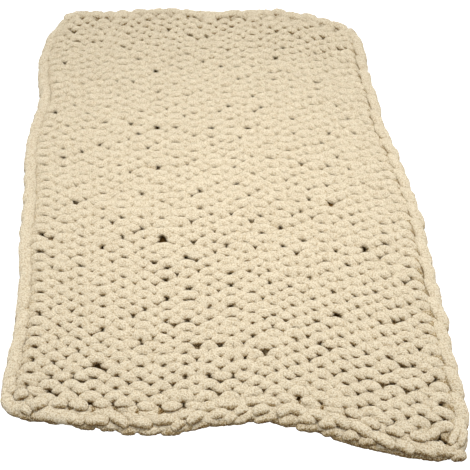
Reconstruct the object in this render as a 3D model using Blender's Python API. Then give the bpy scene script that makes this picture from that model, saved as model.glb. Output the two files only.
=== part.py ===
"""A chunky hand-knitted blanket lying flat on a surface, knitted in one piece from very thick yarn.

The blanket is one closed solid. Its underside is flat, its outline is the uneven one of a hand-knitted
piece, its edges are as round as the yarn, and its upper side has a few low swells and hollows.
Metres, +Z up, +X across the blanket and +Y from its near end to its far end. The origin is on the
underside, in the middle of the box that holds the blanket.
"""

from collections import namedtuple

import bmesh
import bpy
import numpy as np

NAME = "blanket"
COLLECTION = "chunky_knit_blanket"

# The yarn and what follows from it.
YARN = 0.022  # diameter
THICKNESS = 2 * YARN  # loops lie over loops, so the knit is two yarns deep
RIM_HEIGHT = 0.5 * THICKNESS  # where the outline is widest
RIM_UPPER = 0.9 * YARN  # how far in the rounding of the upper side reaches
RIM_LOWER = 0.5 * YARN  # and that of the underside

# The faces: a quarter round along the rim takes RIM_STEPS of them, and the rest are even.
RIM_STEPS = 3
STEPS_ACROSS = 34
STEPS_ALONG = 52
WELD = 0.00001

# The two long edges. along is the share of the way from the near end to the far end.
Side = namedtuple("Side", "along left right")
SIDES = [
    Side(0.000, -0.4480, 0.5310),
    Side(0.030, -0.4700, 0.5450),
    Side(0.060, -0.4700, 0.5595),
    Side(0.100, -0.4670, 0.5560),
    Side(0.180, -0.4690, 0.5520),
    Side(0.270, -0.4840, 0.5480),
    Side(0.350, -0.5040, 0.5450),
    Side(0.440, -0.5120, 0.5410),
    Side(0.520, -0.5300, 0.5270),
    Side(0.585, -0.5395, 0.5140),
    Side(0.650, -0.5340, 0.4970),
    Side(0.700, -0.5280, 0.4800),
    Side(0.770, -0.5460, 0.4780),
    Side(0.840, -0.5595, 0.4620),
    Side(0.890, -0.5570, 0.4615),
    Side(0.930, -0.5410, 0.4610),
    Side(0.970, -0.5240, 0.4530),
    Side(1.000, -0.4985, 0.4435),
]

# The two ends. across is the share of the way from the left edge to the right edge.
End = namedtuple("End", "across near far")
ENDS = [
    End(0.00, -0.6935, 0.7615),
    End(0.05, -0.7100, 0.7915),
    End(0.13, -0.7180, 0.7865),
    End(0.18, -0.7280, 0.7775),
    End(0.25, -0.7370, 0.7990),
    End(0.35, -0.7435, 0.8035),
    End(0.42, -0.7330, 0.7975),
    End(0.50, -0.7180, 0.7805),
    End(0.58, -0.7125, 0.7910),
    End(0.66, -0.7320, 0.7915),
    End(0.73, -0.7490, 0.7965),
    End(0.79, -0.7700, 0.7800),
    End(0.86, -0.7860, 0.7620),
    End(0.92, -0.7990, 0.7330),
    End(0.97, -0.8035, 0.7000),
    End(1.00, -0.7950, 0.6615),
]

# The low swells (rise above 0) and hollows (rise below 0) of the upper side: the share of the way
# across and along where each has its middle, how far it reaches each way from there, and its height.
Swell = namedtuple("Swell", "across along reach_across reach_along rise")
SWELLS = [
    Swell(0.36, 0.965, 0.42, 0.070, 0.007),
    Swell(0.78, 0.925, 0.26, 0.075, 0.006),
    Swell(0.62, 0.890, 0.22, 0.055, -0.004),
    Swell(0.12, 0.760, 0.14, 0.160, 0.004),
    Swell(0.55, 0.620, 0.36, 0.120, 0.003),
    Swell(0.30, 0.450, 0.28, 0.110, -0.003),
    Swell(0.86, 0.300, 0.16, 0.200, 0.004),
    Swell(0.30, 0.070, 0.26, 0.085, 0.005),
    Swell(0.58, 0.045, 0.16, 0.070, -0.004),
]

# The finish of the yarn.
CREAM = (0.80, 0.70, 0.52, 1.0)
ROUGHNESS = 0.95


def clear_scene():
    for old in list(bpy.data.objects):
        bpy.data.objects.remove(old, do_unlink=True)


def column(table, name):
    return np.array([getattr(row, name) for row in table])


def smooth(at, knots, values):
    """A smooth curve through the rows of a table, never past the values of the two rows it runs between."""
    step = np.diff(knots)
    slope = np.diff(values) / step
    same_way = slope[:-1] * slope[1:] > 0
    tangent = np.zeros(len(knots))
    tangent[[0, -1]] = slope[[0, -1]]
    tangent[1:-1][same_way] = 2 / (1 / slope[:-1][same_way] + 1 / slope[1:][same_way])
    i = np.clip(np.searchsorted(knots, at, side="right") - 1, 0, len(step) - 1)
    t = (at - knots[i]) / step[i]
    start = (1 + 2 * t) * (1 - t) ** 2 * values[i] + t * (1 - t) ** 2 * step[i] * tangent[i]
    end = t**2 * (3 - 2 * t) * values[i + 1] + t**2 * (t - 1) * step[i] * tangent[i + 1]
    return start + end


def plan(across, along):
    """Where a point lies on the ground, from its shares of the way across and along."""
    knots = column(SIDES, "along")
    left = smooth(along, knots, column(SIDES, "left"))
    right = smooth(along, knots, column(SIDES, "right"))
    knots = column(ENDS, "across")
    near = smooth(across, knots, column(ENDS, "near"))
    far = smooth(across, knots, column(ENDS, "far"))
    return left + (right - left) * across, near + (far - near) * along


def quarter_round(distance, reach):
    """0 at the rim, rising as a quarter of an ellipse to 1 at the given reach."""
    short = 1 - np.clip(distance / reach, 0, 1)
    return np.sqrt(1 - short**2)


def width():
    return float(np.mean(column(SIDES, "right") - column(SIDES, "left")))


def length():
    return float(np.mean(column(ENDS, "far") - column(ENDS, "near")))


def rounding(across, along, reach):
    """The quarter rounds of the four edges together, 0 on the outline and 1 inside."""
    from_side = np.minimum(across, 1 - across) * width()
    from_end = np.minimum(along, 1 - along) * length()
    return quarter_round(from_side, reach) * quarter_round(from_end, reach)


def swell_height(across, along):
    """All the swells and hollows together, each a round-topped hump that fades out at its reach."""
    height = np.zeros_like(across)
    for swell in SWELLS:
        off = ((across - swell.across) / swell.reach_across) ** 2
        off += ((along - swell.along) / swell.reach_along) ** 2
        height += swell.rise * np.clip(1 - off, 0, None) ** 2
    return height


def upper_height(across, along):
    crown = THICKNESS + swell_height(across, along)
    return RIM_HEIGHT + (crown - RIM_HEIGHT) * rounding(across, along, RIM_UPPER)


def lower_height(across, along):
    return RIM_HEIGHT * (1 - rounding(across, along, RIM_LOWER))


def spacing(steps, size):
    """Shares from 0 to 1: fine steps round the rim at both ends and even ones between them."""
    angle = np.linspace(0, np.pi / 2, RIM_STEPS + 1)
    rim = (1 - np.cos(angle)) * RIM_UPPER / size
    between = np.linspace(rim[-1], 1 - rim[-1], steps - 2 * RIM_STEPS + 1)
    return np.concatenate([rim[:-1], between, 1 - rim[:-1][::-1]])


def add_skin(bm, height_of, upwards):
    """Adds one side of the cloth: a flat grid, respaced, laid out in plan and raised to its height."""
    made = bmesh.ops.create_grid(bm, x_segments=STEPS_ACROSS, y_segments=STEPS_ALONG, size=0.5)
    corners = made["verts"]
    grid = np.array([corner.co[:2] for corner in corners]) + 0.5
    across = np.interp(grid[:, 0], np.linspace(0, 1, STEPS_ACROSS + 1), spacing(STEPS_ACROSS, width()))
    along = np.interp(grid[:, 1], np.linspace(0, 1, STEPS_ALONG + 1), spacing(STEPS_ALONG, length()))
    x, y = plan(across, along)
    x -= 0.5 * (x.min() + x.max())
    y -= 0.5 * (y.min() + y.max())
    z = height_of(across, along)
    for corner, place in zip(corners, np.column_stack([x, y, z])):
        corner.co = place
    if not upwards:
        faces = list({face for corner in corners for face in corner.link_faces})
        bmesh.ops.reverse_faces(bm, faces=faces)


def blanket_mesh():
    """The upper and lower sides of the cloth, welded along the outline into one closed solid."""
    bm = bmesh.new()
    add_skin(bm, upper_height, upwards=True)
    add_skin(bm, lower_height, upwards=False)
    bmesh.ops.remove_doubles(bm, verts=bm.verts[:], dist=WELD)
    mesh = bpy.data.meshes.new(NAME)
    bm.to_mesh(mesh)
    bm.free()
    mesh.shade_smooth()
    return mesh


def chenille():
    material = bpy.data.materials.new("cream_chenille")
    material.use_nodes = True
    shader = material.node_tree.nodes["Principled BSDF"]
    shader.inputs["Base Color"].default_value = CREAM
    shader.inputs["Roughness"].default_value = ROUGHNESS
    shader.inputs["Metallic"].default_value = 0.0
    return material


def main():
    clear_scene()
    collection = bpy.data.collections.new(COLLECTION)
    bpy.context.scene.collection.children.link(collection)
    blanket = bpy.data.objects.new(NAME, blanket_mesh())
    blanket.data.materials.append(chenille())
    collection.objects.link(blanket)


main()
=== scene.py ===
# %% [markdown]
# # A chunky knit blanket
#
# The blanket is knitted in one piece from one very thick chenille yarn and lies flat on the floor with
# its purl side up. Each row is one long wavy run of yarn that hooks into the row before. So it is built
# here the way it is knitted: one run of yarn per row, worked out by a formula, with ropes of edge stitches
# along the sides and the ends. A thin sheet with the stitches as bumps in its material would be lighter,
# but it would look wrong at the edges and from the side.

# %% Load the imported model, which is the frame that everything is placed in
from collections import namedtuple

import bpy
import numpy as np
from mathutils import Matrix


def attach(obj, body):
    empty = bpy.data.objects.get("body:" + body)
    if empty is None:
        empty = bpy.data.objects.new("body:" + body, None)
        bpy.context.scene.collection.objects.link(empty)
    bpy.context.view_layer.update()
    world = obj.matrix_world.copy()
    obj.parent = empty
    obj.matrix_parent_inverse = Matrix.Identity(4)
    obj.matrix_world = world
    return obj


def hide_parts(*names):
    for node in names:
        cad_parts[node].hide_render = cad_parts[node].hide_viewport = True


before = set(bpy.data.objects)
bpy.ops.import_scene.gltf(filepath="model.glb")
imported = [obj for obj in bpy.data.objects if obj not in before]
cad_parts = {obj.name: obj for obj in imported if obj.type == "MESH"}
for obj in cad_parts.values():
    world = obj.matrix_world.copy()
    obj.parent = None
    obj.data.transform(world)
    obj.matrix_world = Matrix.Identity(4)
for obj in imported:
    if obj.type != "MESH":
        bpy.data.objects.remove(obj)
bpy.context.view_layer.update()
BODY = "root"
NODE = "blanket"

# %% [markdown]
# ## Camera
#
# The blanket is seen by someone who stands at its near end and looks down. The tilt matters more than the
# lens: it sets how much the rows close up with distance. The lens is then as long as the framing needs.

# %% The camera
EYE = (0.0515, -1.6235, 1.681)
LOOK_DOWN = 49.0
LENS = 65.5
SENSOR = 36.0

camera_data = bpy.data.cameras.new("camera")
camera_data.lens = LENS
camera_data.sensor_width = SENSOR
camera = bpy.data.objects.new("camera", camera_data)
camera.location = EYE
camera.rotation_euler = (np.radians(90 - LOOK_DOWN), 0, 0)
bpy.context.scene.collection.objects.link(camera)
bpy.context.scene.camera = camera
print("camera at", EYE, "looking", LOOK_DOWN, "degrees down")

# %% [markdown]
# ## Light
#
# Deep knitting shows by the shade between its stitches. Light from behind the viewer reaches every side of
# the yarn that can be seen, and the rows look flat. Light from straight above puts a dark band under every
# stitch. So a weak, warm soft box stands behind the viewer, and a stronger one hangs over the near half of
# the blanket, where the stitches look deepest. A white world fills the shade from all sides.

# %% The soft boxes: metres, degrees and watts
SoftBox = namedtuple("SoftBox", "name place tilt size spread power colour")
SOFT_BOXES = [
    SoftBox("front_soft_box", (0.0, -2.4, 3.4), 38.0, 1.2, 60.0, 3.0, (1.0, 0.98, 0.92)),
    SoftBox("back_soft_box", (0.1, -0.25, 2.2), 3.0, 0.8, 120.0, 13.3, (1.0, 1.0, 1.0)),
]


def add_soft_box(box):
    """A square lamp that is tilted about X from looking straight down."""
    data = bpy.data.lights.new(box.name, "AREA")
    data.shape = "SQUARE"
    data.size = box.size
    data.spread = np.radians(box.spread)
    data.energy = box.power
    data.color = box.colour
    lamp = bpy.data.objects.new(box.name, data)
    lamp.location = box.place
    lamp.rotation_euler = (np.radians(box.tilt), 0, 0)
    bpy.context.scene.collection.objects.link(lamp)


for box in SOFT_BOXES:
    add_soft_box(box)
    print(box.name, "gives", box.power, "W from a height of", box.place[2], "m")

# %% The world
WHITE = (1.0, 1.0, 1.0, 1.0)
WORLD_STRENGTH = 0.61
WORLD_SEEN = 1.2


def set_strength(tree, socket, given, seen):
    """strength = given + (seen - given) * camera_ray, where camera_ray is 1 for what the camera sees and
    0 for the light that falls on things."""
    rays = tree.nodes.new("ShaderNodeLightPath")
    strength = tree.nodes.new("ShaderNodeMath")
    strength.operation = "MULTIPLY_ADD"
    strength.inputs[1].default_value = seen - given
    strength.inputs[2].default_value = given
    tree.links.new(rays.outputs["Is Camera Ray"], strength.inputs[0])
    tree.links.new(strength.outputs["Value"], socket)


def white_world():
    """A white world that looks brighter to the camera than the light it gives."""
    world = bpy.data.worlds.new("white_world")
    world.use_nodes = True
    background = world.node_tree.nodes["Background"]
    background.inputs["Color"].default_value = WHITE
    set_strength(world.node_tree, background.inputs["Strength"], WORLD_STRENGTH, WORLD_SEEN)
    return world


bpy.context.scene.world = white_world()
bpy.context.scene.view_settings.view_transform = "Standard"
print("strength of the world:", WORLD_STRENGTH, "and as the camera sees it:", WORLD_SEEN)

# %% [markdown]
# ## The lie of the blanket
#
# A hand-knitted throw is never a true rectangle: its edges wander and its corners are rounded. It could be
# knitted straight and bent with a lattice, but then the edges are hard to steer. Here a few readings of
# the sides and the ends say where it lies, with smooth curves between them. Any stitch then finds its
# place by its share of the way across and along.

# %% The two side edges, with one row for each place where an edge turns
Side = namedtuple("Side", "along left right")
SIDES = [
    Side(0.000, -0.4480, 0.5310),
    Side(0.030, -0.4700, 0.5450),
    Side(0.060, -0.4700, 0.5595),
    Side(0.100, -0.4670, 0.5560),
    Side(0.180, -0.4690, 0.5520),
    Side(0.270, -0.4840, 0.5480),
    Side(0.350, -0.5040, 0.5450),
    Side(0.440, -0.5120, 0.5410),
    Side(0.520, -0.5300, 0.5270),
    Side(0.585, -0.5395, 0.5140),
    Side(0.650, -0.5340, 0.4970),
    Side(0.700, -0.5280, 0.4800),
    Side(0.770, -0.5460, 0.4780),
    Side(0.840, -0.5595, 0.4620),
    Side(0.890, -0.5570, 0.4615),
    Side(0.930, -0.5410, 0.4610),
    Side(0.970, -0.5240, 0.4530),
    Side(1.000, -0.4985, 0.4435),
]

print("readings of the side edges:", len(SIDES))

# %% The two ends, with one row for each place where an end turns
End = namedtuple("End", "across near far")
ENDS = [
    End(0.00, -0.6935, 0.7615),
    End(0.05, -0.7100, 0.7915),
    End(0.13, -0.7180, 0.7865),
    End(0.18, -0.7280, 0.7775),
    End(0.25, -0.7370, 0.7990),
    End(0.35, -0.7435, 0.8035),
    End(0.42, -0.7330, 0.7975),
    End(0.50, -0.7180, 0.7805),
    End(0.58, -0.7125, 0.7910),
    End(0.66, -0.7320, 0.7915),
    End(0.73, -0.7490, 0.7965),
    End(0.79, -0.7700, 0.7800),
    End(0.86, -0.7860, 0.7620),
    End(0.92, -0.7990, 0.7330),
    End(0.97, -0.8035, 0.7000),
    End(1.00, -0.7950, 0.6615),
]

print("readings of the ends:", len(ENDS))


# %% Smooth curves through the readings
def column(table, name):
    """One named column of a table as an array."""
    return np.array([getattr(row, name) for row in table])


def smooth(at, knots, values):
    """A cubic between each two rows of a table, with tangents that are the harmonic mean of the slopes on
    both sides, so that it never runs past the values of the two rows."""
    step = np.diff(knots)
    slope = np.diff(values) / step
    same_way = slope[:-1] * slope[1:] > 0
    tangent = np.zeros(len(knots))
    tangent[[0, -1]] = slope[[0, -1]]
    tangent[1:-1][same_way] = 2 / (1 / slope[:-1][same_way] + 1 / slope[1:][same_way])
    i = np.clip(np.searchsorted(knots, at, side="right") - 1, 0, len(step) - 1)
    t = (at - knots[i]) / step[i]
    start = (1 + 2 * t) * (1 - t) ** 2 * values[i] + t * (1 - t) ** 2 * step[i] * tangent[i]
    end = t**2 * (3 - 2 * t) * values[i + 1] + t**2 * (t - 1) * step[i] * tangent[i + 1]
    return start + end


def plan(across, along):
    """x = left + (right - left) * across and y = near + (far - near) * along."""
    left = smooth(along, column(SIDES, "along"), column(SIDES, "left"))
    right = smooth(along, column(SIDES, "along"), column(SIDES, "right"))
    near = smooth(across, column(ENDS, "across"), column(ENDS, "near"))
    far = smooth(across, column(ENDS, "across"), column(ENDS, "far"))
    return left + (right - left) * across, near + (far - near) * along


WIDTH = float(np.mean(column(SIDES, "right") - column(SIDES, "left")))
LENGTH = float(np.mean(column(ENDS, "far") - column(ENDS, "near")))
print(f"blanket: {WIDTH:.3f} m wide and {LENGTH:.3f} m long")

# %% [markdown]
# ## Floor
#
# A pale floor would throw light up at the edge ropes and wash out their shade. So the floor's real colour
# is a dark grey, and a glow that only the camera sees makes it plain white. The part under the blanket is
# a face of its own without the glow, painted a warm dark brown: painted shade that shows through the gaps
# in the knitting, where white would shine through.

# %% The outline of the part under the blanket
FLOOR_SIZE = 14.0
SHADE_INSET = 0.022
FOOTPRINT_POINTS = 100


def footprint_line(inset, count=FOOTPRINT_POINTS):
    """The rectangle of shares, drawn in by the inset and put through plan(), as one closed line that
    starts at the near left corner and runs round by the near right one."""
    share = np.arange(count) / count
    low_x, low_y = inset / WIDTH, inset / LENGTH
    across = low_x + (1 - 2 * low_x) * np.concatenate([share, 0 * share + 1, 1 - share, 0 * share])
    along = low_y + (1 - 2 * low_y) * np.concatenate([0 * share, share, 0 * share + 1, 1 - share])
    return np.stack(plan(across, along), -1)


print("points round the part under the blanket:", len(footprint_line(SHADE_INSET)))

# %% The floor
FLOOR_GREY = (0.18, 0.18, 0.18, 1.0)
FLOOR_GLOW = 1.2
FLOOR_ROUGHNESS = 0.9
FLOOR_SHINE = 0.1
# painted shade: the warm dark brown of the part under the blanket, seen through the gaps
PAINTED_SHADE_FLOOR = (0.28, 0.15, 0.04, 1.0)


def floor_material(name, colour, glow):
    """A matt floor. The glow is light that only the camera sees, so it doesn't reach the yarn."""
    material = bpy.data.materials.new(name)
    material.use_nodes = True
    shader = material.node_tree.nodes["Principled BSDF"]
    shader.inputs["Base Color"].default_value = colour
    shader.inputs["Roughness"].default_value = FLOOR_ROUGHNESS
    shader.inputs["Specular IOR Level"].default_value = FLOOR_SHINE
    shader.inputs["Emission Color"].default_value = WHITE
    if glow:
        set_strength(material.node_tree, shader.inputs["Emission Strength"], 0.0, glow)
    return material


def plain_floor():
    """A flat square at the height where the blanket rests: the part under the blanket is one face, and a
    ring of faces joins it to the square's outline."""
    inner = footprint_line(SHADE_INSET)
    outer = inner * (FLOOR_SIZE / 2 / np.abs(inner).max(axis=1))[:, None]
    count = len(inner)
    points = np.column_stack([np.concatenate([inner, outer]), np.zeros(2 * count)])
    start = np.arange(count)
    after = (start + 1) % count
    ring = np.stack([start, start + count, after + count, after], -1)
    mesh = bpy.data.meshes.new("floor")
    mesh.from_pydata(points, [], ring.tolist() + [start.tolist()])
    mesh.materials.append(floor_material("white_floor", FLOOR_GREY, FLOOR_GLOW))
    # the part under the blanket gets the painted shade
    mesh.materials.append(floor_material("painted_shade_floor", PAINTED_SHADE_FLOOR, 0.0))
    mesh.polygons[count].material_index = 1
    floor = bpy.data.objects.new("floor", mesh)
    bpy.context.scene.collection.objects.link(floor)


plain_floor()
print("floor:", FLOOR_SIZE, "m square")

# %% [markdown]
# ## Swells and hollows
#
# Thick knitting never lies quite flat. A cloth simulation would make swells too, but at places of its own
# choosing. Here a short table says where each broad, low hump or hollow lies.

# %% The low swells and hollows
Swell = namedtuple("Swell", "across along reach_across reach_along rise")
SWELLS = [
    Swell(0.36, 0.965, 0.42, 0.070, 0.007),
    Swell(0.78, 0.925, 0.26, 0.075, 0.006),
    Swell(0.62, 0.890, 0.22, 0.055, -0.004),
    Swell(0.12, 0.760, 0.14, 0.160, 0.004),
    Swell(0.55, 0.620, 0.36, 0.120, 0.003),
    Swell(0.30, 0.450, 0.28, 0.110, -0.003),
    Swell(0.86, 0.300, 0.16, 0.200, 0.004),
    Swell(0.30, 0.070, 0.26, 0.085, 0.005),
    Swell(0.58, 0.045, 0.16, 0.070, -0.004),
]


def swell_height(across, along):
    """Each swell is rise * (1 - d^2)^2, where d is the distance from its middle in its own reach."""
    height = np.zeros(np.broadcast(across, along).shape)
    for swell in SWELLS:
        off = ((across - swell.across) / swell.reach_across) ** 2
        off = off + ((along - swell.along) / swell.reach_along) ** 2
        height += swell.rise * np.clip(1 - off, 0, None) ** 2
    return height


print("rise in the middle of the first swell:", round(float(swell_height(0.36, 0.965)), 4), "m")

# %% [markdown]
# ## The stitch
#
# Seen from the purl side, heads and bottom bends lie in front and the legs between them lie behind. So the
# height of the yarn goes up and down twice in each stitch while its path along the cloth goes once. The
# sideways swing also goes twice, which makes each bend wider than its neck and hooks the rows together.
#
# One stitch could be modelled and repeated with an array, but every copy would be the same. The sizes of
# sines and cosines can change from row to row and from stitch to stitch.

# %% The size of a stitch
WALES = 19
COURSES = 46
SELVEDGE = 0.031
END_CHAIN = 0.033
THICKNESS = 0.042
STITCH_WIDTH = (WIDTH - 2 * SELVEDGE) / WALES
STITCH_HEIGHT = (LENGTH - 2 * END_CHAIN) / COURSES
print(f"stitch: {STITCH_WIDTH * 1000:.1f} x {STITCH_HEIGHT * 1000:.1f} mm")

# %% [markdown]
# The knitting is deep at both ends, where the edge rope holds it, and flatter in between. So each size of
# the stitch has a column in a table: the diameter of the yarn and how flat its section is, the reach of
# its bends along the blanket, the spread of its legs sideways and the depth of its swing up and down. Then
# come two painted shades: between, on the sides of the yarn, and behind, on the legs, which lie behind the
# bends.

# %% The yarn and the shape of its stitches from the near end to the far end
Yarn = namedtuple("Yarn", "course diameter flat reach spread depth between behind")
YARNS = [
    Yarn(-1, 0.0246, 0.92, 0.0250, 0.0078, 0.0108, 1.30, 0.65),
    Yarn(4, 0.0236, 0.88, 0.0249, 0.0078, 0.0106, 1.10, 0.60),
    Yarn(14, 0.0240, 0.80, 0.0252, 0.0088, 0.0102, 0.40, 0.45),
    Yarn(22, 0.0245, 0.75, 0.0254, 0.0094, 0.0098, 0.10, 0.40),
    Yarn(30, 0.0246, 0.70, 0.0258, 0.0092, 0.0094, 0.00, 0.30),
    Yarn(38, 0.0246, 0.70, 0.0258, 0.0088, 0.0092, 0.00, 0.30),
    Yarn(42, 0.0248, 0.76, 0.0256, 0.0085, 0.0098, 0.50, 0.40),
    Yarn(47, 0.0258, 0.82, 0.0256, 0.0080, 0.0104, 1.10, 0.55),
]


def yarn(name, course):
    """The value in one column of the table at any row of knitting, on a straight line between its rows."""
    return np.interp(course, column(YARNS, "course"), column(YARNS, name))


print("yarn in the first row:", yarn("diameter", 0), "m thick, with bends that reach", yarn("reach", 0), "m")

# %% [markdown]
# The cast-on rope is broad in some places and narrow in others, and the first rows bend to follow it. A
# table says how far they shift along the blanket, in metres, for each share of the way across.

# %% How far the first rows lie from where even rows would be
Bend = namedtuple("Bend", "across shift")
BENDS = [
    Bend(0.00, -0.030),
    Bend(0.10, -0.027),
    Bend(0.20, -0.006),
    Bend(0.28, 0.002),
    Bend(0.37, -0.002),
    Bend(0.45, -0.016),
    Bend(0.53, -0.020),
    Bend(0.61, 0.000),
    Bend(0.70, 0.006),
    Bend(0.80, 0.003),
    Bend(0.89, -0.008),
    Bend(1.00, -0.010),
]
BENT_ROWS = 8
MOST_BEND = 1.2


def near_shift(across):
    """The shift of the very first row, on a smooth curve through the table."""
    return smooth(np.clip(across, 0, 1), column(BENDS, "across"), column(BENDS, "shift"))


print("shift of the first row in the middle:", round(float(near_shift(0.5)), 4), "m")


# %% Where a place in the knitting lies on the floor
def cloth_shares(wale, course):
    """The share of the way across and along, from the count of stitches and rows. The shift of the first
    rows fades out as (1 - course / BENT_ROWS)^2, and is no more than MOST_BEND^2 of itself before them."""
    across = (SELVEDGE + (WIDTH - 2 * SELVEDGE) * wale / WALES) / WIDTH
    bent = near_shift(across) * np.clip(1 - course / BENT_ROWS, 0, MOST_BEND) ** 2
    along = (END_CHAIN + (LENGTH - 2 * END_CHAIN) * course / COURSES + bent) / LENGTH
    return across, along


def from_outline(across, along):
    """The distance to the nearest edge, in metres."""
    side = np.minimum(across, 1 - across) * WIDTH
    end = np.minimum(along, 1 - along) * LENGTH
    return np.minimum(side, end)


print("middle of the knitting:", cloth_shares(WALES / 2, COURSES / 2))

# %% [markdown]
# ## Uneven knitting
#
# No two hand-made stitches are alike. Noise on every point would only roughen the yarn, so each bend gets
# its own small shift and thickness, with a fixed seed. And the whole cloth is pulled about a little from
# place to place: rows that hook into each other move together there, or they would come apart.

# %% Random values along one row of yarn
RINGS = 32
TUCK = 0.12
SPARE_STITCHES = 3
rng = np.random.default_rng(11)


def ease(share):
    """Half a cosine: 0 at 0 and 1 at 1, level at both."""
    return 0.5 - 0.5 * np.cos(np.pi * share)


def uneven(wale, rows, spread):
    """A random value at every half stitch of every row, joined by a half cosine."""
    at = (wale[0] + 1) * 2
    knots = rng.normal(0, spread, (rows, 2 * (WALES + SPARE_STITCHES)))
    first = at.astype(int)
    share = ease(at - first)
    return knots[:, first] * (1 - share) + knots[:, first + 1] * share


print("rings round the yarn in one stitch:", RINGS)

# %% Random pulls over the whole cloth
ROW_BLEND = 0.8
COLUMN_BLEND = 0.5
STITCHES_BEFORE = 1.5
ROWS_BEFORE = 2.5
SIDE_PULL = 0.0020
ALONG_PULL = 0.0026
HEIGHT_PULL = 0.0013


def drift_map(seed, spread):
    """A random value for every half stitch and row, blended with its neighbours so that they move alike."""
    values = np.random.default_rng(seed).normal(0, 1, (COURSES + 6, 2 * WALES + 8))
    rows_beside = np.roll(values, 1, 0) + np.roll(values, -1, 0)
    values = values + ROW_BLEND * rows_beside + COLUMN_BLEND * np.roll(values, 1, 1)
    return spread * values / values.std()


def drift(values, wale, course):
    """The value of a map at any place, joined by half cosines both ways."""
    column_at = np.clip((wale + STITCHES_BEFORE) * 2, 0, values.shape[1] - 2)
    row_at = np.clip(course + ROWS_BEFORE, 0, values.shape[0] - 2)
    i, j = row_at.astype(int), column_at.astype(int)
    up, right = ease(row_at - i), ease(column_at - j)
    near = values[i, j] * (1 - right) + values[i, j + 1] * right
    far = values[i + 1, j] * (1 - right) + values[i + 1, j + 1] * right
    return near * (1 - up) + far * up


SIDE_MAP = drift_map(21, SIDE_PULL)
ALONG_MAP = drift_map(22, ALONG_PULL)
HEIGHT_MAP = drift_map(23, HEIGHT_PULL)
print("pulls sideways, along and up:", [round(pulls.std(), 4) for pulls in (SIDE_MAP, ALONG_MAP, HEIGHT_MAP)])

# %% Slow waves over the whole cloth
WAVES = 7
WANDER = 0.0028
PER_WALE = 0.45
PER_COURSE = 0.28
FULL_TURN = 6.28


def wander(wale, course, seed):
    """The sum of a few sine waves over the cloth, WANDER * sum(sin(a wale + b course + start)) / sqrt(WAVES),
    with random a, b and start."""
    draw = np.random.default_rng(seed)
    total = np.zeros(np.broadcast(wale, course).shape)
    for _ in range(WAVES):
        per_wale = draw.normal(0, PER_WALE)
        per_course = draw.normal(0, PER_COURSE)
        start = draw.uniform(0, FULL_TURN)
        total += np.sin(per_wale * wale + per_course * course + start)
    return WANDER * total / WAVES**0.5


print("wander at the middle:", round(float(wander(WALES / 2, COURSES / 2, 5)), 4), "m")

# %% [markdown]
# Here and there the stitches round one spot are pushed apart and the dark shows through. The middle of
# such a gap lies under a head, half way between two columns, or over a bottom bend, on a whole column. The
# gaps that catch the eye are listed by size in a table of measured places, in counts of stitches and rows.
# Many small pinholes are strewn at random between them.

# %% The places where the knitting gapes
Gap = namedtuple("Gap", "wale course open")
TINY, SMALL, MEDIUM, LARGE = 0.002, 0.004, 0.006, 0.009
GAPS_BY_SIZE = {
    LARGE: [
        (16.0, 0.2), (18.5, 2.8), (9.0, 5.2), (11.0, 4.2), (7.5, 9.8), (14.5, 8.8), (0.5, 13.8),
        (8.0, 15.2), (0.5, 15.8), (6.5, 15.8), (8.0, 17.2), (14.0, 30.2), (2.5, 30.8), (11.5, 35.8),
        (16.0, 36.2), (6.5, 36.8), (1.0, 38.2), (4.5, 38.8),
    ],
    MEDIUM: [
        (2.0, 0.2), (3.5, 0.8), (12.5, 0.8), (11.0, 1.2), (17.0, 3.2), (3.5, 3.8), (8.0, 5.2), (10.0, 4.2),
        (9.5, 8.8), (7.0, 12.2), (9.5, 11.8), (7.5, 13.8), (3.5, 14.8), (9.0, 14.2), (13.5, 15.8),
        (9.0, 16.2), (11.5, 15.8), (4.5, 17.8), (13.0, 18.2), (15.0, 18.2), (2.0, 19.2), (5.5, 20.8),
        (15.0, 22.2), (17.5, 22.8), (0.5, 23.8), (6.5, 23.8), (14.0, 24.2), (2.5, 25.8), (16.0, 26.2),
        (3.5, 26.8), (10.5, 26.8), (5.5, 27.8), (15.5, 27.8), (11.0, 27.2), (9.5, 28.8), (6.5, 28.8),
        (8.5, 30.8), (1.5, 33.8), (13.5, 36.8), (1.0, 36.2), (7.5, 37.8), (4.0, 44.2), (11.0, 44.2),
        (18.0, 7.2), (9.5, 38.8),
    ],
    SMALL: [
        (5.0, 0.2), (10.5, 0.8), (6.0, 14.2), (12.5, 16.8), (14.0, 18.2), (17.0, 20.2), (18.5, 21.8),
        (7.0, 21.2), (13.0, 22.2), (2.5, 22.8), (0.5, 30.8), (9.5, 40.8), (11.0, 40.2), (12.5, 40.8),
        (1.5, 41.8), (17.0, 43.2), (16.5, 42.8), (15.0, 43.2), (8.5, 43.8), (9.5, 42.8), (5.5, 44.8),
        (14.5, 44.8), (18.5, 4.8), (18.5, 6.8), (18.0, 4.2), (12.5, 35.8), (3.5, 36.8),
    ],
    TINY: [
        (3.0, 42.2), (13.0, 43.2), (12.0, 45.2), (13.5, 43.8), (14.0, 43.2), (15.5, 42.8), (10.5, 43.8),
        (7.5, 42.8), (9.0, 45.2), (10.0, 40.2),
    ],
}
GAPS = [Gap(wale, course, size) for size, places in GAPS_BY_SIZE.items() for wale, course in places]
print("gaps in the table:", len(GAPS))

# %% The pinholes
PINHOLES = 150
PINHOLE_OPEN = 0.0055
PINHOLE_SEED = 21
FIRST_PINHOLE_ROW = 5
LOW_IN_ROW = 0.2
HIGH_IN_ROW = 0.8


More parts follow.
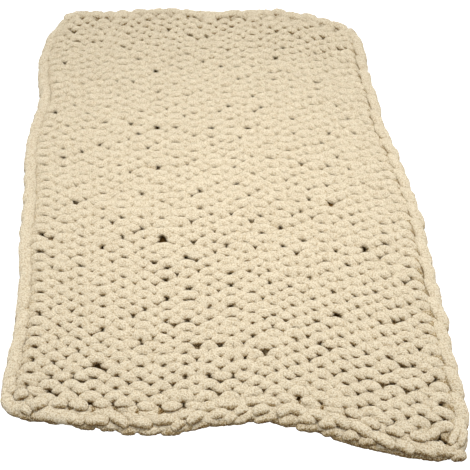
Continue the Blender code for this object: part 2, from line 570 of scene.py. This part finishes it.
def pinholes():
    """Small gaps at random places where two bends meet: on a whole column low in a row, or half way
    between two columns high in it."""
    draw = np.random.default_rng(PINHOLE_SEED)
    half = draw.integers(0, 2, PINHOLES)
    wales = draw.integers(1, WALES, PINHOLES) - 0.5 * half
    courses = draw.integers(FIRST_PINHOLE_ROW, COURSES - 2, PINHOLES)
    courses = courses + np.where(half, HIGH_IN_ROW, LOW_IN_ROW)
    return [Gap(wale, course, PINHOLE_OPEN) for wale, course in zip(wales, courses)]


ALL_GAPS = GAPS + pinholes()
print("gaps and pinholes:", len(ALL_GAPS))

# %% How the gaps push the yarn apart
GAP_REACH = 0.012


def pushed_apart(wale, course):
    """The shift away from the gaps: the sum of open * d * exp(-d^2 / 2), with d the way from the middle of
    the gap in GAP_REACH. Also returns how near the closest gaps are, from 0 to 1."""
    sideways = np.zeros(np.broadcast(wale, course).shape)
    forwards = sideways.copy()
    nearness = sideways.copy()
    for gap in ALL_GAPS:
        right = (wale - gap.wale) * STITCH_WIDTH / GAP_REACH
        ahead = (course - gap.course) * STITCH_HEIGHT / GAP_REACH
        hump = np.exp(-0.5 * (right**2 + ahead**2))
        sideways += gap.open * hump * right
        forwards += gap.open * hump * ahead
        nearness += hump
    return sideways, forwards, np.clip(nearness, 0, 1)


print("push at 5 mm beside a large gap:", np.round(pushed_apart(16.1, 0.2)[0], 4), "m")

# %% [markdown]
# ## The rows
#
# One formula gives the path of the yarn in every row: the swings of the stitch, the random shifts of its
# bends, the pulls on the cloth and the push of the gaps. A simulation of the yarn would be slow, and it
# would never lie exactly as wanted.
#
# The bends of the first row go down into the edge rope, so they are short and low. At both sides the yarn
# dives under the rope of edge stitches.
#
# Shade is painted into the colour here, on top of the shade that the lamps cast, because pile takes up
# more of the light than a smooth surface does. So each point of the path gets a painted shade from 0 to 1:
# high on the legs and at the ends of the rows, which lie under other yarn, and full on the legs in a gap.

# %% The sizes of the random differences between bends
UNEVEN_REACH = 0.055
UNEVEN_SIDE = 0.0017
UNEVEN_AHEAD = 0.0013
UNEVEN_HEIGHT = 0.0011
UNEVEN_RADIUS = 0.038
PLUMP = -0.03
HEAD_PLUMP = 0.04
HEAD_WIDTH = 0.0028
print("the bends differ in reach by about", UNEVEN_REACH, "of it and in place by", UNEVEN_SIDE, "m")

# %% The painted shade along the yarn
LEG_START = 0.3
LEG_FALL = 0.9
TAIL_START = 0.24
LEFT_TAIL_SHADE = 0.15
RIGHT_TAIL_SHADE = 0.45


def leg_shade(turn):
    """The painted shade on the legs, which lie behind the bends: 0 on the bends, where cos(2 turn) is high,
    rising to 1 on the legs.
    """
    return ease(np.clip((LEG_START - np.cos(2 * turn)) / LEG_FALL, 0, 1))


def tail(wale):
    """0 inside the knit, rising to 1 where a row reaches the rope at a side edge: the share of the painted
    shade at the row's end.
    """
    return ease(np.clip((TAIL_START - wale) / TAIL_START, 0, 1))


print("shade on a bend and on a leg:", leg_shade(0.0), leg_shade(np.pi / 2))

# %% The path of the yarn in several rows
FIRST_ROW_REACH = 0.006
CALM_EDGE = 0.070
DIVE_START = 0.16
DIVE_HEIGHT = 0.011
RESTING = 0.92


def row_paths(courses):
    """With turn = 2 pi per stitch, the yarn runs on by one stitch in each turn and swings
    sideways by spread * sin(2 turn) - HEAD_WIDTH * sin(turn),
    forwards by -reach * cos(turn) and
    upwards by depth * cos(2 turn).
    Returns the points (rows, steps, 3), the yarn's radius and its shade. The middle of the yarn stays
    RESTING times its radius above the floor, because its section is a little flat."""
    rows = len(courses)
    wale = np.arange(-TUCK * RINGS, (WALES + TUCK) * RINGS + 0.5)[None, :] / RINGS
    course = courses[:, None] + 0.5
    turn = 2 * np.pi * wale
    reach = yarn("reach", course) * (1 + uneven(wale, rows, UNEVEN_REACH))
    sideways = yarn("spread", course) * np.sin(2 * turn) - HEAD_WIDTH * np.sin(turn)
    sideways = sideways + uneven(wale, rows, UNEVEN_SIDE)
    forwards = -reach * np.cos(turn) + uneven(wale, rows, UNEVEN_AHEAD)
    depth = yarn("depth", course)
    height = THICKNESS / 2 + depth * np.cos(2 * turn) + uneven(wale, rows, UNEVEN_HEIGHT)

    first = courses[:, None] < 1
    bottom_bend = np.clip(np.cos(turn), 0, 1)
    forwards = np.where(first, np.maximum(forwards, FIRST_ROW_REACH), forwards)
    height = np.where(first, height - 2 * depth * bottom_bend, height)
    dive = ease(np.clip((DIVE_START - np.minimum(wale, WALES - wale)) / (DIVE_START + TUCK), 0, 1))
    height = height * (1 - dive) + DIVE_HEIGHT * dive

    at_wale, at_course = wale + sideways / STITCH_WIDTH, course + forwards / STITCH_HEIGHT
    across, along = cloth_shares(at_wale, at_course)
    loose = ease(np.clip(from_outline(across, along) / CALM_EDGE, 0, 1))
    push_side, push_ahead, gap_nearness = pushed_apart(at_wale, at_course)
    behind = yarn("behind", at_course)
    # painted shade: on the legs behind the bends, full on the legs in a gap, and at the row ends under the
    # side ropes
    shade = leg_shade(turn) * (behind + (1 - behind) * gap_nearness**2)
    shade = np.maximum(shade, LEFT_TAIL_SHADE * tail(wale) + RIGHT_TAIL_SHADE * tail(WALES - wale))

    sideways = loose * (drift(SIDE_MAP, at_wale, at_course) + wander(at_wale, at_course, 5)) + push_side
    forwards = loose * (drift(ALONG_MAP, at_wale, at_course) + wander(at_wale, at_course, 6)) + push_ahead
    across, along = cloth_shares(at_wale + sideways / STITCH_WIDTH, at_course + forwards / STITCH_HEIGHT)
    x, y = plan(np.clip(across, 0, 1), np.clip(along, 0, 1))
    radius = 0.5 * yarn("diameter", at_course)
    radius = radius * (1 + PLUMP * np.cos(2 * turn) - HEAD_PLUMP * np.cos(turn))
    radius = radius * (1 + uneven(wale, rows, UNEVEN_RADIUS))
    height = height + loose * drift(HEIGHT_MAP, at_wale, at_course)
    height = height * (1 + swell_height(across, along) / THICKNESS)
    return np.stack([x, y, np.maximum(height, RESTING * radius)], -1), radius, shade


print("points in one row of yarn:", row_paths(np.array([0]))[0].shape[1])

# %% [markdown]
# ## From a path to a yarn
#
# A curve object with a bevel is always round. Yarn that is pressed into a knit is wider than it is high,
# and its pile lies in clumps. So a ring of points is set square to the path at each step, each point at a
# slightly random distance, and the rings are joined.

# %% Rings of points round the paths
SIDES_ROUND = 12
FLAT_SIDE = 1.08
SQUARENESS = 0.85
PILE = 0.04
CLUMP_BLEND = 0.5
UP = np.array([0.0, 0.0, 1.0])


def unit(vectors):
    """The same directions with a length of 1."""
    return vectors / np.linalg.norm(vectors, axis=-1, keepdims=True)


def lumpy(strands, steps, sides):
    """1 plus a random share for every point of every ring: the clumps of the pile, a little evened out."""
    clumps = rng.normal(0, 1, (strands, steps, sides))
    clumps = clumps + CLUMP_BLEND * (np.roll(clumps, 1, 1) + np.roll(clumps, 1, 2))
    return 1 + PILE * clumps / clumps.std()


def rings_round(path, radius, flat, sides=SIDES_ROUND):
    """point = path + radius * clump * (flat * cos(a)^s * up + FLAT_SIDE * sin(a)^s * side), where up and
    side are square to the path, s is the squareness of the section and each power keeps its sign."""
    ahead = unit(np.gradient(path, axis=-2))
    up = unit(UP - (ahead @ UP)[..., None] * ahead)
    side = np.cross(ahead, up)
    angle = np.arange(sides) * 2 * np.pi / sides
    high = np.sign(np.cos(angle)) * np.abs(np.cos(angle)) ** SQUARENESS
    wide = FLAT_SIDE * np.sign(np.sin(angle)) * np.abs(np.sin(angle)) ** SQUARENESS
    high = high * flat[..., None]
    ring = high[..., None] * up[..., None, :] + wide[:, None] * side[..., None, :]
    return path[..., None, :] + (radius[..., None] * lumpy(*ring.shape[:3]))[..., None] * ring


print("points round the yarn:", SIDES_ROUND)

# %% [markdown]
# Little light gets down between two strands. So a painted shade also grows round the strand, from none on
# its upper side to the value of "between" on its sides, which face the next strands.

# %% The painted shade round a strand
SIDE_START = 0.60
SIDE_FALL = 0.6


def shade_round(along, between, side_start, side_fall, sides=SIDES_ROUND):
    """1 - (1 - along) * (1 - between * side), where along is the shade of the path and side is
    ease((side_start - cos(a)) / side_fall), with the angle a counted from the top of the strand."""
    angle = np.arange(sides) * 2 * np.pi / sides
    side = ease(np.clip((side_start - np.cos(angle)) / side_fall, 0, 1))
    return 1 - (1 - along[..., None]) * (1 - np.clip(between[..., None] * side, 0, 1))


top_to_bottom = shade_round(np.zeros(1), np.ones(1), SIDE_START, SIDE_FALL)[0, :SIDES_ROUND // 2 + 1]
print("shade from the top of a strand to its bottom:", np.round(top_to_bottom, 2).tolist())


# %% Joining rings into closed tubes
def numbers(*counts):
    """The numbers from 0 of every combination, as one array for each count."""
    return np.meshgrid(*[np.arange(count) for count in counts], indexing="ij")


def tube_faces(strands, rings, sides):
    """Four-cornered faces between each two rings, and a fan of triangles over each end."""
    strand, ring, side = numbers(strands, rings - 1, sides)
    start = (strand * rings + ring) * sides
    after = (side + 1) % sides
    quads = np.stack([start + side, start + after, start + sides + after, start + sides + side], -1)
    strand, side = numbers(strands, sides)
    after = (side + 1) % sides
    first = strand * rings * sides
    last = first + (rings - 1) * sides
    pole = strands * rings * sides + 2 * strand
    start_fan = np.stack([pole, first + after, first + side], -1)
    end_fan = np.stack([pole + 1, last + side, last + after], -1)
    triangles = np.concatenate([start_fan.reshape(-1, 3), end_fan.reshape(-1, 3)])
    return quads.reshape(-1, 4), triangles


print("faces of a tube of 4 rings of 12 points:", sum(len(faces) for faces in tube_faces(1, 4, 12)))

# %% [markdown]
# Each strand gets its own strip of the texture square, so no two places of the yarn share one spot there.

# %% The strips of the texture square
STRIP_MARGIN = 0.02
ROUND_MARGIN = 0.04


def strip_v(strand, side, corner, strands, sides):
    """The place across the square: the strip of the strand, and in it the share of the way round."""
    share = (side[..., None] + np.array(corner)) / sides
    return (strand[..., None] + ROUND_MARGIN + (1 - 2 * ROUND_MARGIN) * share) / strands


def strip_map(strands, rings, sides):
    """For each corner of each face: u is the share along the strand, v the share round it, in its strip."""
    strand, ring, side = numbers(strands, rings - 1, sides)
    u = STRIP_MARGIN + (1 - 2 * STRIP_MARGIN) * (ring[..., None] + np.array([0, 0, 1, 1])) / (rings - 1)
    quads = np.stack([u, strip_v(strand, side, [0, 1, 1, 0], strands, sides)], -1)
    strand, side = numbers(strands, sides)
    fan_u = np.array([0.0, STRIP_MARGIN, STRIP_MARGIN]) + 0 * side[..., None]
    start_fan = np.stack([fan_u, strip_v(strand, side, [0.5, 1, 0], strands, sides)], -1)
    end_fan = np.stack([1 - fan_u, strip_v(strand, side, [0.5, 0, 1], strands, sides)], -1)
    return np.concatenate([part.reshape(-1, 2) for part in (quads, start_fan, end_fan)])


print("corners in the strip of such a tube:", len(strip_map(1, 4, 12)))


# %% Making the mesh of several strands
def yarn_mesh(name, rings, tips, shade):
    """rings is (strands, steps, sides, 3), tips is (strands, 2, 3), the points that close the tubes, and
    shade is (strands, steps, sides), how much light the pile has lost to its neighbours there."""
    strands, steps, sides, _ = rings.shape
    quads, triangles = tube_faces(strands, steps, sides)
    points = np.concatenate([rings.reshape(-1, 3), tips.reshape(-1, 3)])
    mesh = bpy.data.meshes.new(name)
    mesh.from_pydata(points, [], quads.tolist() + triangles.tolist())
    mesh.shade_smooth()
    values = np.concatenate([shade.ravel(), shade[:, [0, -1]].mean(-1).ravel()])
    # the painted shade, kept on the points for the material to tint the colour
    mesh.attributes.new("shade", "FLOAT", "POINT").data.foreach_set("value", values.astype(np.float32))
    strips = mesh.uv_layers.new(name="OFBake")
    strips.data.foreach_set("uv", strip_map(strands, steps, sides).astype(np.float32).ravel())
    return mesh


# %% [markdown]
# ## Chenille
#
# Chenille is a core with a dense, short, matt pile. Real hairs on every strand would be far too heavy. So
# two noises raise the surface, and the finer one also makes darker specks in its low spots: the grain of
# the pile, and painted shade where light gets lost between the tufts. A soft sheen stands for the tips of
# the pile.

# %% The material of the chenille, and the helpers that build its nodes
CREAM = (0.80, 0.722, 0.565, 1.0)
CREAM_DARK = (0.585, 0.47, 0.30, 1.0)
# HALF_SHADE and FULL_SHADE are painted shade: the tints that the shade attribute lays on the cream
HALF_SHADE = (0.56, 0.46, 0.28, 1.0)
FULL_SHADE = (0.22, 0.11, 0.01, 1.0)
SHEEN_TINT = (1.0, 0.88, 0.66, 1.0)

chenille = bpy.data.materials.new("cream_chenille")
chenille.use_nodes = True
tree = chenille.node_tree
shader = tree.nodes["Principled BSDF"]
shader.inputs["Roughness"].default_value = 0.95
shader.inputs["Specular IOR Level"].default_value = 0.15
shader.inputs["Diffuse Roughness"].default_value = 1.0
shader.inputs["Sheen Weight"].default_value = 0.25
shader.inputs["Sheen Roughness"].default_value = 0.6
shader.inputs["Sheen Tint"].default_value = SHEEN_TINT


def node(kind, **values):
    """Adds a node and sets its inputs by name."""
    added = tree.nodes.new(kind)
    for name, value in values.items():
        added.inputs[name.replace("_", " ")].default_value = value
    return added


def link(source, output, target, socket):
    """Links an output to an input, each by its name or its number."""
    tree.links.new(source.outputs[output], target.inputs[socket])


def mix(blend, **colours):
    """A mix of two colours, A and B. A colour that isn't given is left to be linked."""
    added = tree.nodes.new("ShaderNodeMix")
    added.data_type = "RGBA"
    added.blend_type = blend
    for socket, colour in colours.items():
        added.inputs[socket].default_value = colour
    return added


print("nodes before the pile:", len(tree.nodes))

# %% The pile of the chenille
PILE_SCALE = 290.0
PILE_DEEP = 0.0050
TUFT_SCALE = 150.0
TUFT_DEEP = 0.0015

where = node("ShaderNodeTexCoord")
pile = node("ShaderNodeTexNoise", Scale=PILE_SCALE, Detail=1, Roughness=0.6)
tufts = node("ShaderNodeTexNoise", Scale=TUFT_SCALE, Detail=2, Roughness=0.5)
link(where, "Object", pile, "Vector")
link(where, "Object", tufts, "Vector")
tuft_bump = node("ShaderNodeBump", Strength=0.7, Distance=TUFT_DEEP)
link(tufts, "Fac", tuft_bump, "Height")
pile_bump = node("ShaderNodeBump", Strength=1.0, Distance=PILE_DEEP)
link(pile, "Fac", pile_bump, "Height")
link(tuft_bump, "Normal", pile_bump, "Normal")
link(pile_bump, "Normal", shader, "Normal")
print("nodes with the pile:", len(tree.nodes))

# %% The specks: grain and painted shade in the low spots of the pile
SPECK_LOW = 0.34
SPECK_HIGH = 0.56

# darker where the pile's bump is low: grain of the pile and painted shade between the tufts
speck = node("ShaderNodeMapRange", From_Min=SPECK_LOW, From_Max=SPECK_HIGH)
link(pile, "Fac", speck, "Value")
speckled = mix("MIX", A=CREAM_DARK, B=CREAM)
link(speck, "Result", speckled, "Factor")
print("nodes with the specks:", len(tree.nodes))

# %% [markdown]
# The painted shade tints the cream down to a deep brown. A smooth shade would look like a painted stripe,
# so it deepens between the tufts of the pile and fades on top of them: shade * (1 + RAGGED * (0.5 - pile)).

# %% The painted shade between the strands
RAGGED = 3.5

shade_value = node("ShaderNodeAttribute")
shade_value.attribute_name = "shade"
ragged = node("ShaderNodeMath")
ragged.operation = "MULTIPLY_ADD"
ragged.inputs[1].default_value = -RAGGED
ragged.inputs[2].default_value = 1 + RAGGED / 2
link(pile, "Fac", ragged, 0)
ragged_shade = node("ShaderNodeMath")
ragged_shade.operation = "MULTIPLY"
link(ragged, "Value", ragged_shade, 0)
link(shade_value, "Fac", ragged_shade, 1)

shade_tint = node("ShaderNodeValToRGB")
shade_tint.color_ramp.elements[0].color = WHITE
shade_tint.color_ramp.elements[1].color = FULL_SHADE
shade_tint.color_ramp.elements.new(0.5).color = HALF_SHADE
link(ragged_shade, "Value", shade_tint, "Fac")
shaded = mix("MULTIPLY", Factor=1.0)
link(speckled, "Result", shaded, "A")
link(shade_tint, "Color", shaded, "B")
link(shaded, "Result", shader, "Base Color")
print("nodes in the chenille:", len(tree.nodes))

# %% [markdown]
# ## Making the pieces
#
# One object for each row would make a long list, and one for all of them a very heavy mesh, so the rows
# are made in bands. Every piece is soft and full of air, and stands in for the one solid of the model.

# %% From strands to a piece
TIP_STEPS = 3
TIP_OPEN = 0.3


def add_yarn(name, path, radius, shade, flat, between, side_start=SIDE_START, side_fall=SIDE_FALL):
    """Makes the strands one piece. Over the last TIP_STEPS rings at both ends, the radius shrinks to a tip
    as sqrt(1 - (1 - share)^2), which is round."""
    steps = path.shape[1]
    from_end = np.minimum(np.arange(steps), np.arange(steps)[::-1])
    rounding = np.sqrt(1 - (1 - np.clip((from_end + TIP_OPEN) / TIP_STEPS, 0, 1)) ** 2)
    rings = rings_round(path, radius * rounding, flat)
    mesh = yarn_mesh(name, rings, path[:, [0, -1]], shade_round(shade, between, side_start, side_fall))
    mesh.materials.append(chenille)
    piece = bpy.data.objects.new(name, mesh)
    bpy.context.scene.collection.objects.link(piece)
    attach(piece, BODY)
    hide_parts(NODE)
    mesh.calc_loop_triangles()
    print(f"{name}: {len(mesh.loop_triangles)} triangles")


# %% The rows of knitting, in bands
BANDS = 6
for number, courses in enumerate(np.array_split(np.arange(0, COURSES), BANDS), start=1):
    path, radius, shade = row_paths(courses)
    course = courses[:, None] + 0 * radius
    add_yarn(f"knit_rows_{number}", path, radius, shade, yarn("flat", course), yarn("between", course))

# %% [markdown]
# ## The edges
#
# The last stitch of each row turns into the first of the next, which makes a rope of slanted bends along
# both sides, and a chain of loops runs along both ends. A screw modifier winds a straight rope only. So a
# line is laid a little inside the uneven outline, and two strands wind round it and each other.

# %% A line round the blanket, a little inside its outline
RIM_STEP = 0.004
ROUNDING_PASSES = 3


def rim_line(inset, rounding, follow):
    """The rectangle of shares, drawn in by the inset, put through plan() and averaged so that its corners
    are round. Its near side also takes the share "follow" of the bend of the first rows. Returns the
    closed line from the near left corner round by the near right one, and its corners' numbers."""
    edge_across, edge_along = inset / WIDTH, inset / LENGTH
    corners = [(0, 0), (1, 0), (1, 1), (0, 1), (0, 0)]
    runs = []
    for (start_across, start_along), (end_across, end_along) in zip(corners[:-1], corners[1:]):
        size = WIDTH if start_along == end_along else LENGTH
        share = np.arange(0, 1, RIM_STEP / size)
        across = start_across + (end_across - start_across) * share
        along = start_along + (end_along - start_along) * share
        runs.append(np.stack([edge_across + (1 - 2 * edge_across) * across,
                              edge_along + (1 - 2 * edge_along) * along], -1))
    runs[0][:, 1] += follow * near_shift(runs[0][:, 0]) / LENGTH
    shares = np.concatenate(runs)
    line = np.stack(plan(shares[:, 0], shares[:, 1]), -1)
    window = max(1, int(rounding / RIM_STEP))
    for _ in range(ROUNDING_PASSES):
        padded = np.concatenate([line[-window:], line, line[:window]])
        sums = np.cumsum(padded, axis=0)
        line = (sums[2 * window:] - sums[:-2 * window]) / (2 * window)
    return line, np.cumsum([0] + [len(run) for run in runs])


print("points on the line for the side ropes:", len(rim_line(0.0175, 0.02, 0)[0]))


# %% Part of that line
def along_rim(line, corners, start, end):
    """Points evenly spaced along part of the closed line, and the level direction out of the blanket.
    The start and the end are counted in sides: 1.5 is half way along the second side."""
    closed = np.concatenate([line, line[:1]])
    distance = np.concatenate([[0], np.cumsum(np.linalg.norm(np.diff(closed, axis=0), axis=1))])
    turns = np.arange(0, 9)
    corner_at = distance[corners[turns % 4]] + distance[-1] * (turns // 4)
    at = np.arange(np.interp(start, turns, corner_at), np.interp(end, turns, corner_at), RIM_STEP)
    wrapped = np.mod(at, distance[-1])
    points = np.stack([np.interp(wrapped, distance, closed[:, i]) for i in range(2)], -1)
    ahead = unit(np.gradient(points, axis=0))
    outward = np.stack([ahead[:, 1], -ahead[:, 0]], -1)
    return at, points, outward


# %% A strand that winds along the rim
DWELL = 0.4
EDGE_UNEVEN = 0.0016
EDGE_RADIUS_UNEVEN = 0.05
EDGE_TURN_UNEVEN = 0.25
BENEATH_SHADE = 0.8
BENEATH_START = 0.1
BENEATH_FALL = 0.9


def along_uneven(at, pitch, spread):
    """A random value for every quarter pitch of one strand, joined by a half cosine."""
    place = at / (0.25 * pitch)
    first = np.floor(place).astype(int)
    knots = rng.normal(0, spread, first.max() - first.min() + 2)
    share = ease(place - first)
    first = first - first.min()
    return knots[first] * (1 - share) + knots[first + 1] * share


def winding_strand(rope, end, phase):
    """turn = t - DWELL * sin(t), with t one full turn per pitch: slow over the top and quick beneath.
    The strand is out * sin(turn) to the side of the line and up * cos(turn) above its height, and its
    radius grows by swell * cos(turn). Returns the path, the radius and the shade, which is on the part
    that runs beneath."""
    line, corners = rim_line(rope.inset, rope.corner, rope.follow)
    at, points, outward = along_rim(line, corners, rope.start, end)
    t = 2 * np.pi * (at / rope.pitch + phase)
    t = t + along_uneven(at, rope.pitch, EDGE_TURN_UNEVEN * rope.uneven)
    turn = t - DWELL * np.sin(t)
    sideways = rope.out * np.sin(turn) + along_uneven(at, rope.pitch, EDGE_UNEVEN * rope.uneven)
    z = rope.height + rope.up * np.cos(turn) + along_uneven(at, rope.pitch, EDGE_UNEVEN * rope.uneven)
    uneven_radius = along_uneven(at, rope.pitch, EDGE_RADIUS_UNEVEN * rope.uneven)
    radius = rope.radius * (1 + rope.swell * np.cos(turn) + uneven_radius)
    z = np.maximum(z, RESTING * radius)
    path = np.concatenate([points + sideways[:, None] * outward, z[:, None]], -1)
    # painted shade on the part of the strand that runs beneath the other
    shade = BENEATH_SHADE * ease(np.clip((BENEATH_START - np.cos(turn)) / BENEATH_FALL, 0, 1))
    return path[None], radius[None], shade[None]


# %% [markdown]
# Each rope is one row of a table: where it starts and its strands end, counted in sides from the near left
# corner, how far one turn takes it, and how it winds. The left one runs on round the corner under the
# loops. The cast-on edge is a low rope, a high one over it and a single strand where the first row hooks
# in. The far end is one plump rope.

# %% The table of the ropes
TWO_WALES = 2 * STITCH_WIDTH
FOUR_ROWS = 4 * STITCH_HEIGHT

# between is the painted shade on the sides of each rope's strands
Rope = namedtuple("Rope", "name start ends phase pitch out up height radius swell inset corner follow uneven"
                  " between")
ROPES = [
    Rope("selvedge_right", 0.985, (2.02, 2.02), 0.0, FOUR_ROWS, -0.0055, 0.0070, 0.0205,
         0.0120, 0.20, 0.0175, 0.02, 0, 1.0, 0.80),
    Rope("selvedge_left", 2.98, (4.16, 4.03), 0.0, FOUR_ROWS, 0.0040, 0.0050, 0.0210,
         0.0130, 0.12, 0.0175, 0.03, 0, 1.0, 0.20),
    Rope("cast_on_upper", 0.10, (0.985, 0.985), 0.0, TWO_WALES, 0.0060, 0.0050, 0.0170,
         0.0115, 0.10, 0.0325, 0.012, 0.8, 1.0, 0.8),
    Rope("cast_on_lower", 0.03, (0.995, 0.995), 0.25, TWO_WALES, -0.0030, 0.0030, 0.0115,
         0.0095, 0.15, 0.0165, 0.02, 0, 1.5, 0.8),
    Rope("cast_on_inner", 0.02, (0.98,), 0.5, STITCH_WIDTH, 0.0020, 0.0030, 0.0190,
         0.0110, 0.10, 0.0520, 0.012, 1, 1.0, 0.8),
    Rope("bound_off_edge", 1.99, (3.01, 3.01), 0.0, TWO_WALES, 0.0070, 0.0085, 0.0215,
         0.0120, 0.26, 0.0185, 0.03, 0, 1.5, 1.1),
]
print("strands in the ropes:", sum(len(rope.ends) for rope in ROPES))

# %% The ropes
EDGE_FLAT = 0.95

for rope in ROPES:
    for number, end in enumerate(rope.ends):
        path, radius, shade = winding_strand(rope, end, rope.phase + number / 2)
        name = f"{rope.name}_{number + 1}" if len(rope.ends) > 1 else rope.name
        add_yarn(name, path, radius, shade, EDGE_FLAT + 0 * radius, rope.between + 0 * radius)

# %% [markdown]
# ## The loops of the cast-on edge
#
# A knitter casts on by throwing a loop over the needle for every stitch, and no two of them come out
# alike. So the near end isn't a tidy rope: its loops lie over one another at every angle. Strewn at
# random they would look like gravel, because real loops lean on each other. So a table of measured places
# holds them, each a short plump arc of yarn that dips at both ends. A wale is a count of stitches from the
# left, an inset is the distance from the outline, and all but the wales are in millimetres.

# %% The table of the loops
Loop = namedtuple("Loop", "wale inset end_wale end_inset height radius")
LOOPS = [Loop(*row) for row in [
    (0.7, 11, 2.3, 10, 26, 11), (2.3, 12, 3.0, 10, 29, 12), (3.2, 14, 4.2, 19, 30, 12),
    (4.4, 34, 5.0, 12, 32, 12), (5.2, 24, 6.1, 17, 30, 12), (6.3, 27, 7.1, 26, 30, 12),
    (7.3, 30, 8.1, 33, 32, 11), (7.7, 13, 8.4, 27, 34, 11), (7.0, 8, 7.5, 20, 26, 10),
    (8.2, 42, 9.1, 38, 32, 12), (8.7, 19, 9.4, 21, 32, 11), (9.3, 41, 10.1, 36, 33, 12),
    (9.8, 18, 10.3, 26, 33, 10), (9.4, 5, 9.8, 15, 25, 10), (10.0, 3, 10.5, 17, 25, 10),
    (10.2, 41, 10.9, 41, 34, 10), (10.6, 16, 11.2, 23, 35, 12), (11.1, 41, 11.7, 41, 33, 11),
    (10.6, 2, 11.6, 14, 24, 10), (11.7, 15, 12.3, 41, 34, 12), (12.2, 38, 12.9, 30, 34, 12),
    (11.7, 2, 12.6, 19, 24, 11), (12.6, 19, 13.2, 21, 31, 12), (12.5, 3, 13.4, 14, 20, 10),
    (13.0, 36, 13.8, 30, 34, 12), (13.5, 17, 14.1, 24, 31, 12), (14.0, 37, 14.7, 26, 34, 12),
    (13.6, 5, 14.4, 15, 18, 10), (14.5, 5, 15.1, 15, 24, 11), (14.8, 34, 15.7, 19, 34, 12),
    (15.2, 6, 15.9, 17, 22, 11), (15.7, 23, 16.6, 5, 34, 12), (14.0, 7, 15.3, 7, 11, 9),
    (15.1, 7, 16.4, 8, 11, 9), (16.7, 15, 17.4, 4, 32, 12), (17.4, 15, 18.4, 9, 28, 12),
    (18.4, 18, 19.4, 8, 24, 12), (16.2, 8, 17.5, 7, 11, 9), (17.3, 8, 18.7, 9, 11, 9),
    (18.5, 9, 19.5, 15, 12, 9), (2.8, 8, 3.5, 11, 12, 9), (3.8, 10, 4.4, 12, 12, 8),
    (4.7, 6, 5.3, 9, 14, 10), (5.5, 10, 6.3, 11, 14, 10), (6.5, 9, 7.3, 7, 13, 9),
    (7.5, 9, 7.9, 15, 16, 10), (8.0, 11, 8.7, 14, 18, 10), (9.0, 9, 9.6, 8, 18, 10),
    (-0.2, 33, 0.2, 12, 24, 12), (0.2, 10, 0.6, 11, 22, 10), (0.48, 21, 0.62, 14, 34, 10),
    (0.28, 47, 0.62, 56, 41, 12), (-0.12, 49, 0.08, 66, 36, 10), (0.95, 28, 1.5, 40, 38, 13.5),
    (1.95, 39, 2.4, 43, 38, 12.5), (2.95, 42, 3.3, 44, 38, 11.5), (18.9, 29, 19.1, 62, 38, 9),
    (19.35, 22, 19.42, 58, 38, 9), (19.1, 8, 19.65, 1, 22, 12), (15.2, 47, 15.9, 42, 36, 11),
    (16.3, 39, 16.9, 36, 36, 11), (17.3, 37, 17.8, 36, 35, 11), (17.9, 38, 18.3, 55, 36, 11),
]]
print("loops in the table:", len(LOOPS))

# %% From the table to short arcs of yarn
LOOP_STEPS = 17
LOOP_OVERLAP = 0.002
LOOP_PLUMP = 1.04
LOOP_TAPER = 0.26
LOOP_UNEVEN = 0.02
LOOP_DIP = 0.80
# painted shade: darker on the low parts of the loops and on their ends, which dive under other yarn
LOW_SHADE = 0.40
LOW_HEIGHT = 0.030
END_SHADE = 0.9
END_START = 0.72


def loop_place(wale, inset):
    """The point that far inside the outline of the near end, on the column of stitches."""
    across, _ = cloth_shares(wale, 0)
    return np.stack(plan(across, 0.001 * inset / LENGTH), -1)


def loop_paths():
    """With s from -1 to 1 along each loop: points = middle + s * half, z = height - dip * radius * s^2 and
    radius = size * (LOOP_PLUMP - LOOP_TAPER * s^2). What is low is in shade, and so are the ends, which
    dive."""
    start = loop_place(column(LOOPS, "wale"), column(LOOPS, "inset"))
    end = loop_place(column(LOOPS, "end_wale"), column(LOOPS, "end_inset"))
    size = 0.001 * column(LOOPS, "radius")[:, None]
    s = np.linspace(-1, 1, LOOP_STEPS)[None, :]
    half = 0.5 * (end - start)
    half = half * (1 + LOOP_OVERLAP / np.linalg.norm(half, axis=-1, keepdims=True))
    points = 0.5 * (start + end)[:, None] + s[..., None] * half[:, None]
    radius = size * (LOOP_PLUMP - LOOP_TAPER * s**2) * (1 + rng.normal(0, LOOP_UNEVEN, s.shape))
    z = 0.001 * column(LOOPS, "height")[:, None] - LOOP_DIP * size * s**2
    low = LOW_SHADE * np.clip(1 - z / LOW_HEIGHT, 0, 1)
    dive = END_SHADE * ease(np.clip((np.abs(s) - END_START) / (1 - END_START), 0, 1))
    return np.concatenate([points, np.maximum(z, RESTING * radius)[..., None]], -1), radius, low, dive


# %% The loops
# painted shade on the sides of the loops
LOOP_BETWEEN = 1.3
LOOP_SIDE_START = 0.85
LOOP_SIDE_FALL = 0.9

path, radius, low, dive = loop_paths()
# the painted shade of the low parts and of the diving ends together
shade = 1 - (1 - low) * (1 - dive)
add_yarn("cast_on_loops", path, radius, shade, EDGE_FLAT + 0 * radius, LOOP_BETWEEN + 0 * radius,
         LOOP_SIDE_START, LOOP_SIDE_FALL)
